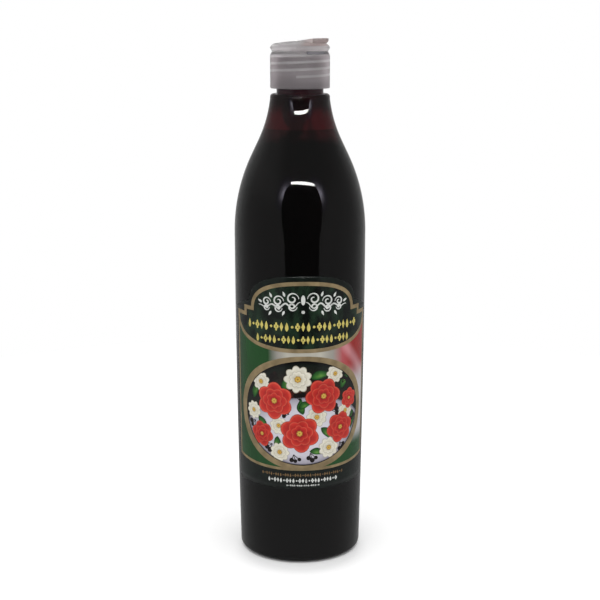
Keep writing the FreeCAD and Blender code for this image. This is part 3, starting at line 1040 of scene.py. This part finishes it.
def field_finish():
    """Green, white and red from left to right, in soft folds, and green along the foot."""
    made, tree = material("label_fields")
    s, z = label_place(tree)
    ripple = calc(tree, "MULTIPLY_ADD", noise(tree, 60.0, 2.0), 5.0, -2.5)
    place = calc(tree, "MULTIPLY_ADD", calc(tree, "ADD", s, ripple), 1 / FIELD_W, 0.5)
    colour = ramp(tree, place, shades(
        (0.04, *DEEP), (0.16, *GREEN), (0.295, *GREEN), (0.355, *GREY), (0.42, *WHITE),
        (0.60, *WHITE), (0.68, *GREY), (0.735, *ROSE), (0.82, *RED), (0.97, *RED)))
    across = calc(tree, "MULTIPLY_ADD", s, FOLD[0], calc(tree, "MULTIPLY_ADD", z, *FOLD[1:]))
    fold = ease(tree, calc(tree, "ABSOLUTE", across), 0.0, FOLD_HALF, 0.75, 0.0)
    streak = times(tree, fold, ease(tree, s, 16.0, 20.0))
    colour = mix(tree, streak, colour, screen(214, 150, 156))
    pale = times(tree, ease(tree, z, 96.0, 84.0), ease(tree, s, 14.0, 24.0))
    colour = mix(tree, pale, colour, screen(206, 202, 204))
    colour = mix(tree, ease(tree, z, 63.0, 55.0), colour, screen(30, 76, 36))
    soft = greys(tree, noise(tree, 55.0, 3.0, (1, 1, 0.45)), 0.3, 0.5, 0.62)
    glossy_print(tree, mix(tree, 0.7, colour, soft, "MULTIPLY"))
    return made


def shaded_print(name, tint, grain_scale, grain, *marks):
    """Print shaded from the middle of each shape to its edge by rim, tinted by tone, with a fine grain."""
    made, tree = material(name)
    colour = ramp(tree, attribute(tree, "rim"), shades(*marks))
    colour = mix(tree, attribute(tree, "tone"), colour, tint, "MULTIPLY")
    specks = greys(tree, noise(tree, grain_scale, 3.0), 0.3, 0.35, 0.65)
    glossy_print(tree, mix(tree, grain, colour, specks, "MULTIPLY"))
    return made


# ======== the pieces
dress(lathe("bottle_shell", bottle_rows(), shift=neck_shift), clear_plastic(), "clear_plastic", "bottle")
dress(lathe("glaze_body", glaze_rows()), glaze_finish(), "glaze", "glaze")
dress(lathe("glaze_film", film_rows(), closed=True), film_finish(), "glaze")
dress(label_film(), two_tone("label_dark", (10, 16, 13), (16, 26, 20), 300.0), "label_film", "label")

ink_white = ink("ink_white", (168, 170, 166), (212, 214, 210))
prints = [  # name, layers over the label's film, shapes and finish
    ("print_fields", 1, colour_fields(), field_finish()),
    ("print_panel", 2, filled(panel_outline()),
     two_tone("label_panel", (8, 15, 12), (34, 58, 40), 170.0, (0.4, 0.68), 5.0, (1, 1, 0.6))),
    ("print_gold", 3, gold_lines(),
     two_tone("label_gold", (120, 103, 72), (146, 127, 92), 220.0, roughness=0.35)),
    ("print_flourish", 4, flourish(), ink_white),
    ("print_yellow_rows", 4, ornament_rows((114.4, 27.0, 4.3, 2.35), (108.4, 22.0, 3.9, 2.2)),
     ink("ink_yellow", (166, 152, 80), (206, 192, 104))),
    ("print_tan_row", 4, ornament_rows((43.9, 20.0, 1.7, 1.15)),
     ink("ink_tan", (84, 64, 42), (118, 92, 60))),
    ("print_white_rows", 4, ornament_rows((41.2, 16.5, 2.3, 1.5), (38.9, 7.5, 1.0, 0.8)), ink_white),
    ("picture_ground", 2.7, single(ellipse(0, OVAL_Z, *GROUND, OVAL_STEPS), (0, OVAL_Z)), shaded_print(
        "picture_dark", (1, 1, 1), 160.0, 0.5,
        (0.0, 96, 30, 24), (0.6, 44, 34, 28), (0.9, 22, 30, 24), (0.955, 12, 12, 12), (1.0, 6, 6, 6))),
    ("picture_pale_field", 4, single(in_picture(ellipse(*PALE, *PALE_HALF, OVAL_STEPS)), PALE, 0.3),
     shaded_print("picture_pale", (0.92, 0.90, 0.94), 120.0, 0.15, (0.0, 222, 219, 226),
                  (0.7, 206, 203, 212), (0.95, 164, 160, 172), (1.0, 90, 86, 96))),
    ("picture_leaves", 5.2, herb_leaves(), shaded_print(
        "picture_green", (0.5, 0.62, 0.5), 500.0, 0.45,
        (0.0, 110, 158, 70), (0.45, 62, 118, 48), (0.85, 34, 82, 36), (1.0, 18, 46, 24))),
    ("picture_cream_flowers", 7.2, flowers(CREAM_FLOWERS, 9, (1.0, 0.62)), shaded_print(
        "picture_cream", (0.86, 0.84, 0.76), 380.0, 0.2,
        (0.0, 170, 152, 100), (0.45, 206, 200, 178), (0.9, 230, 226, 212), (1.0, 160, 152, 130))),
    ("picture_red_flowers", 8.8, flowers(RED_FLOWERS, 6, (1.0, 0.7, 0.44)), shaded_print(
        "picture_red", (0.75, 0.42, 0.4), 420.0, 0.35,
        (0.0, 96, 10, 16), (0.5, 172, 28, 28), (0.86, 202, 50, 40), (0.95, 220, 86, 66),
        (1.0, 132, 22, 24))),
    ("picture_hearts", 10.8, hearts(), shaded_print(
        "picture_gold", (0.9, 0.8, 0.7), 420.0, 0.2,
        (0.0, 120, 84, 30), (0.5, 226, 186, 84), (1.0, 150, 104, 40))),
    ("picture_berries", 6.4, berries(), ink("ink_dark", (36, 22, 20), (22, 16, 16))),
]
for name, level, flat, finish in prints:
    dress(wrapped(name, flat, LABEL_FILM + level * PRINT_STEP), finish, "label_film")

cap_plastic = cap_finish()
hinge_web(cap_plastic)
for cad_name in ("cap_base", "lid"):
    part = frame["nodes"][cad_name]
    part.data.materials.clear()
    part.data.materials.append(cap_plastic)

# ======== stage, lights and camera
STUDIO_FRONT = 0.235    # what shiny surfaces see in front of and beside them
STUDIO_BACK = 0.36      # behind them, along grazing reflections
STUDIO_HIGH = 0.19      # above them
STUDIO_LEFT = 0.09      # added high on the left
STUDIO_FLOOR = 0.30     # below them
AMBIENT = 0.78
FLOOR_R = 0.42
FLOOR_COLOUR = (0.88, 0.88, 0.88)
FLOOR_LIFT = (0.03, 0.2)  # its glow in the painted shadow round the foot, and away from it
PAINTED_SHADOW_FORWARD = 0.012   # how far in front of the axis the painted shadow's middle is
PAINTED_SHADOW_REACH = (0.022, 0.034)  # where the painted shadow starts to fade and where it ends
BOX_FRONT = 0.214       # from the axis to the light box's open front
BEHIND = 0.001          # how far the dark opening lies behind the lamps in it
BOX_MIDDLE_X = 0.003
BOX_WIDE_Z = 0.205      # where the opening is widest
BOX_WIDE = 0.148        # its half width there
BOX_NARROW_Z = 0.095    # below this it is narrow
BOX_NARROW = 0.113      # and this is its half width there
BOX_TOP_Z = 0.29
BOX_POWERS = (3.4, 0.3)  # these round its upper corners
ROOM_RADIANCE = 0.045
GLOWS = {"glow_left": (-0.134, 0.264, 4.2), "glow_right": (0.14, 0.262, 5.6)}  # x, z and peak
GLOW_HALF = (0.1, 0.06)  # half width and half height
GLOW_POWER = 3.0        # how quickly it fades outward
GLOW_COLOUR = (0.88, 0.84, 1.0)
STRIP = (0.0072, 0.2845)  # middle of the lamp strip on the box's upper edge
STRIP_HALF = (0.09, 0.0046)
STRIP_DROP = 0.003      # how much lower its right end is than its middle
STRIP_SAG = 0.003       # and how much its middle sags
STRIP_STEPS = 24
STRIP_RADIANCE = 38.0
SOFT_LAMP = (0.0, -0.2, 1.1)  # place of the large soft lamp over the box
SOFT_TARGET = (0.0, 0.0, 0.1)
SOFT_SIZE = 0.9
SOFT_POWER = 6.0
LENS = 76.2
CAMERA_TURN = radians(-2.7)
CAMERA_PITCH = radians(12.0)
CAMERA_REACH = 0.58702
CAMERA_HEIGHT = 0.24526


def world_light():
    """White to the camera and through clear parts; a plain studio level for everything else."""
    world = bpy.data.worlds.new("studio")
    bpy.context.scene.world = world
    world.use_nodes = True
    tree = world.node_tree
    tree.nodes.clear()
    path = node(tree, "LightPath").outputs
    x, y, z = xyz(tree, node(tree, "TexCoord").outputs["Generated"])
    level = ease(tree, y, 0.2, 1.0, STUDIO_FRONT, STUDIO_BACK)
    above = ease(tree, z, 0.2, 0.6, 1.0, STUDIO_HIGH / STUDIO_FRONT)
    left = times(tree, ease(tree, x, -0.4, -0.85, 0.0, STUDIO_LEFT), ease(tree, z, 0.1, 0.45))
    studio = calc(tree, "MULTIPLY_ADD", level, above, left)
    ambient = calc(tree, "MULTIPLY_ADD", path["Is Glossy Ray"], -AMBIENT, AMBIENT)
    other = calc(tree, "ADD", ambient, times(tree, path["Is Glossy Ray"], studio))
    white = calc(tree, "MAXIMUM", path["Is Camera Ray"], path["Is Transmission Ray"])
    strength = calc(tree, "MAXIMUM", white, other)
    shine = node(tree, "Background", {"Color": (1, 1, 1), "Strength": strength})
    node(tree, "OutputWorld", {"Surface": shine.outputs[0]})


def stage_piece(name, flat, finish):
    obj = from_bmesh(name, flat)
    obj.data.materials.append(finish)
    return obj


def hide(obj, *rays):
    for kind in rays:
        setattr(obj, "visible_" + kind, False)


def mirrored_piece(name, flat, strength, colour=(1, 1, 1)):
    """A glowing piece that only shiny surfaces mirror. Its strength is a number or strength(tree)."""
    made, tree = material(name)
    show(tree, glow(tree, strength(tree) if callable(strength) else strength, colour))
    hide(stage_piece(name, flat, made), "camera", "diffuse", "transmission", "shadow")


def opening_half(z):
    """Half width of the light box's open front at a height."""
    if z > BOX_WIDE_Z:
        over = (z - BOX_WIDE_Z) / (BOX_TOP_Z - BOX_WIDE_Z)
        return BOX_WIDE * (1 - over ** BOX_POWERS[0]) ** BOX_POWERS[1]
    share = min(1.0, max(0.0, (z - BOX_NARROW_Z) / (BOX_WIDE_Z - BOX_NARROW_Z)))
    return BOX_NARROW + (BOX_WIDE - BOX_NARROW) * share * share * (3 - 2 * share)


def upright(flat, behind=0.0):
    """Stands a flat drawing up in the light box's open front, a little behind its lamps."""
    for vert in flat.verts:
        vert.co = (vert.co.x, -BOX_FRONT - behind, vert.co.y)
    return flat


def box_opening():
    """The dark room seen through the open front of the light box."""
    flat = new_flat()
    heights = [BOX_TOP_Z * sin(pi / 2 * i / 40) for i in range(41)]
    right = [(BOX_MIDDLE_X + opening_half(z), z) for z in heights]
    left = [(BOX_MIDDLE_X - opening_half(z), z) for z in heights[-2::-1]]
    fill(flat, right + left)
    mirrored_piece("dark_room", upright(flat, BEHIND), ROOM_RADIANCE)


def corner_glow(name, x, z, peak):
    """Soft light round a place on the opening's edge. It fades quickly outward."""
    flat = new_flat()
    blob(flat, ellipse(x, z, *GLOW_HALF), (x, z))

    def fading(tree):
        inward = calc(tree, "SUBTRACT", 1.0, attribute(tree, "rim"))
        return calc(tree, "MULTIPLY_ADD", calc(tree, "POWER", inward, GLOW_POWER), peak, STUDIO_FRONT)

    mirrored_piece(name, upright(flat, 2 * BEHIND), fading, GLOW_COLOUR)


def strip_lamp():
    """The long lamp over the opening, a slightly sagging band."""
    flat = new_flat()
    pairs = []
    for i in range(STRIP_STEPS + 1):
        along = 2 * i / STRIP_STEPS - 1
        x = STRIP[0] + STRIP_HALF[0] * along
        z = STRIP[1] - STRIP_DROP * along + STRIP_SAG * along * along
        pairs.append([flat.verts.new((x, z + side * STRIP_HALF[1], 0)) for side in (-1, 1)])
    for (a, b), (c, d) in zip(pairs, pairs[1:]):
        flat.faces.new((a, c, d, b))
    mirrored_piece("strip_lamp", upright(flat), STRIP_RADIANCE)


def floor():
    """Plain pale floor, which keeps the bottle's shadow and adds a painted shadow round its foot, where its
    glow is lower; shiny surfaces mirror the studio's level.
    """
    pale, tree = material("floor_pale")
    path = node(tree, "LightPath").outputs
    seen = calc(tree, "MAXIMUM", path["Is Camera Ray"], path["Is Transmission Ray"])
    # painted shadow: the glow is lower near a point just in front of the bottle's foot
    places = {0: object_coords(tree), 1: (0, -PAINTED_SHADOW_FORWARD, 0)}
    distance = node(tree, "VectorMath", places, operation="DISTANCE").outputs["Value"]
    lift = glow(tree, times(tree, seen, ease(tree, distance, *PAINTED_SHADOW_REACH, *FLOOR_LIFT)))
    both = node(tree, "AddShader", {0: dull(tree, FLOOR_COLOUR, 0.9).outputs[0], 1: lift})
    parts = {0: path["Is Glossy Ray"], 1: both.outputs[0], 2: glow(tree, STUDIO_FLOOR)}
    show(tree, node(tree, "MixShader", parts).outputs[0])
    flat = bmesh.new()
    bmesh.ops.create_circle(flat, cap_ends=True, radius=FLOOR_R, segments=96)
    stage_piece("floor", flat, pale)


def soft_lamp():
    """A large lamp over the box, which shiny surfaces don't mirror."""
    light = bpy.data.lights.new("soft_top", "AREA")
    light.shape = "RECTANGLE"
    light.size = SOFT_SIZE
    light.size_y = SOFT_SIZE
    light.energy = SOFT_POWER
    obj = placed("soft_top", light)
    obj.location = SOFT_LAMP
    obj.rotation_mode = "QUATERNION"
    obj.rotation_quaternion = (Vector(SOFT_TARGET) - Vector(SOFT_LAMP)).to_track_quat("-Z", "Y")
    hide(obj, "glossy", "camera", "transmission")


def camera():
    data = bpy.data.cameras.new("camera")
    data.lens = LENS
    data.sensor_width = 36.0
    obj = placed("camera", data)
    obj.location = (CAMERA_REACH * sin(CAMERA_TURN), -CAMERA_REACH * cos(CAMERA_TURN), CAMERA_HEIGHT)
    obj.rotation_euler = (pi / 2 - CAMERA_PITCH, 0, CAMERA_TURN)
    bpy.context.scene.camera = obj


world_light()
floor()
box_opening()
for name, place in GLOWS.items():
    corner_glow(name, *place)
strip_lamp()
soft_lamp()
camera()
bpy.context.scene.view_settings.view_transform = "Standard"
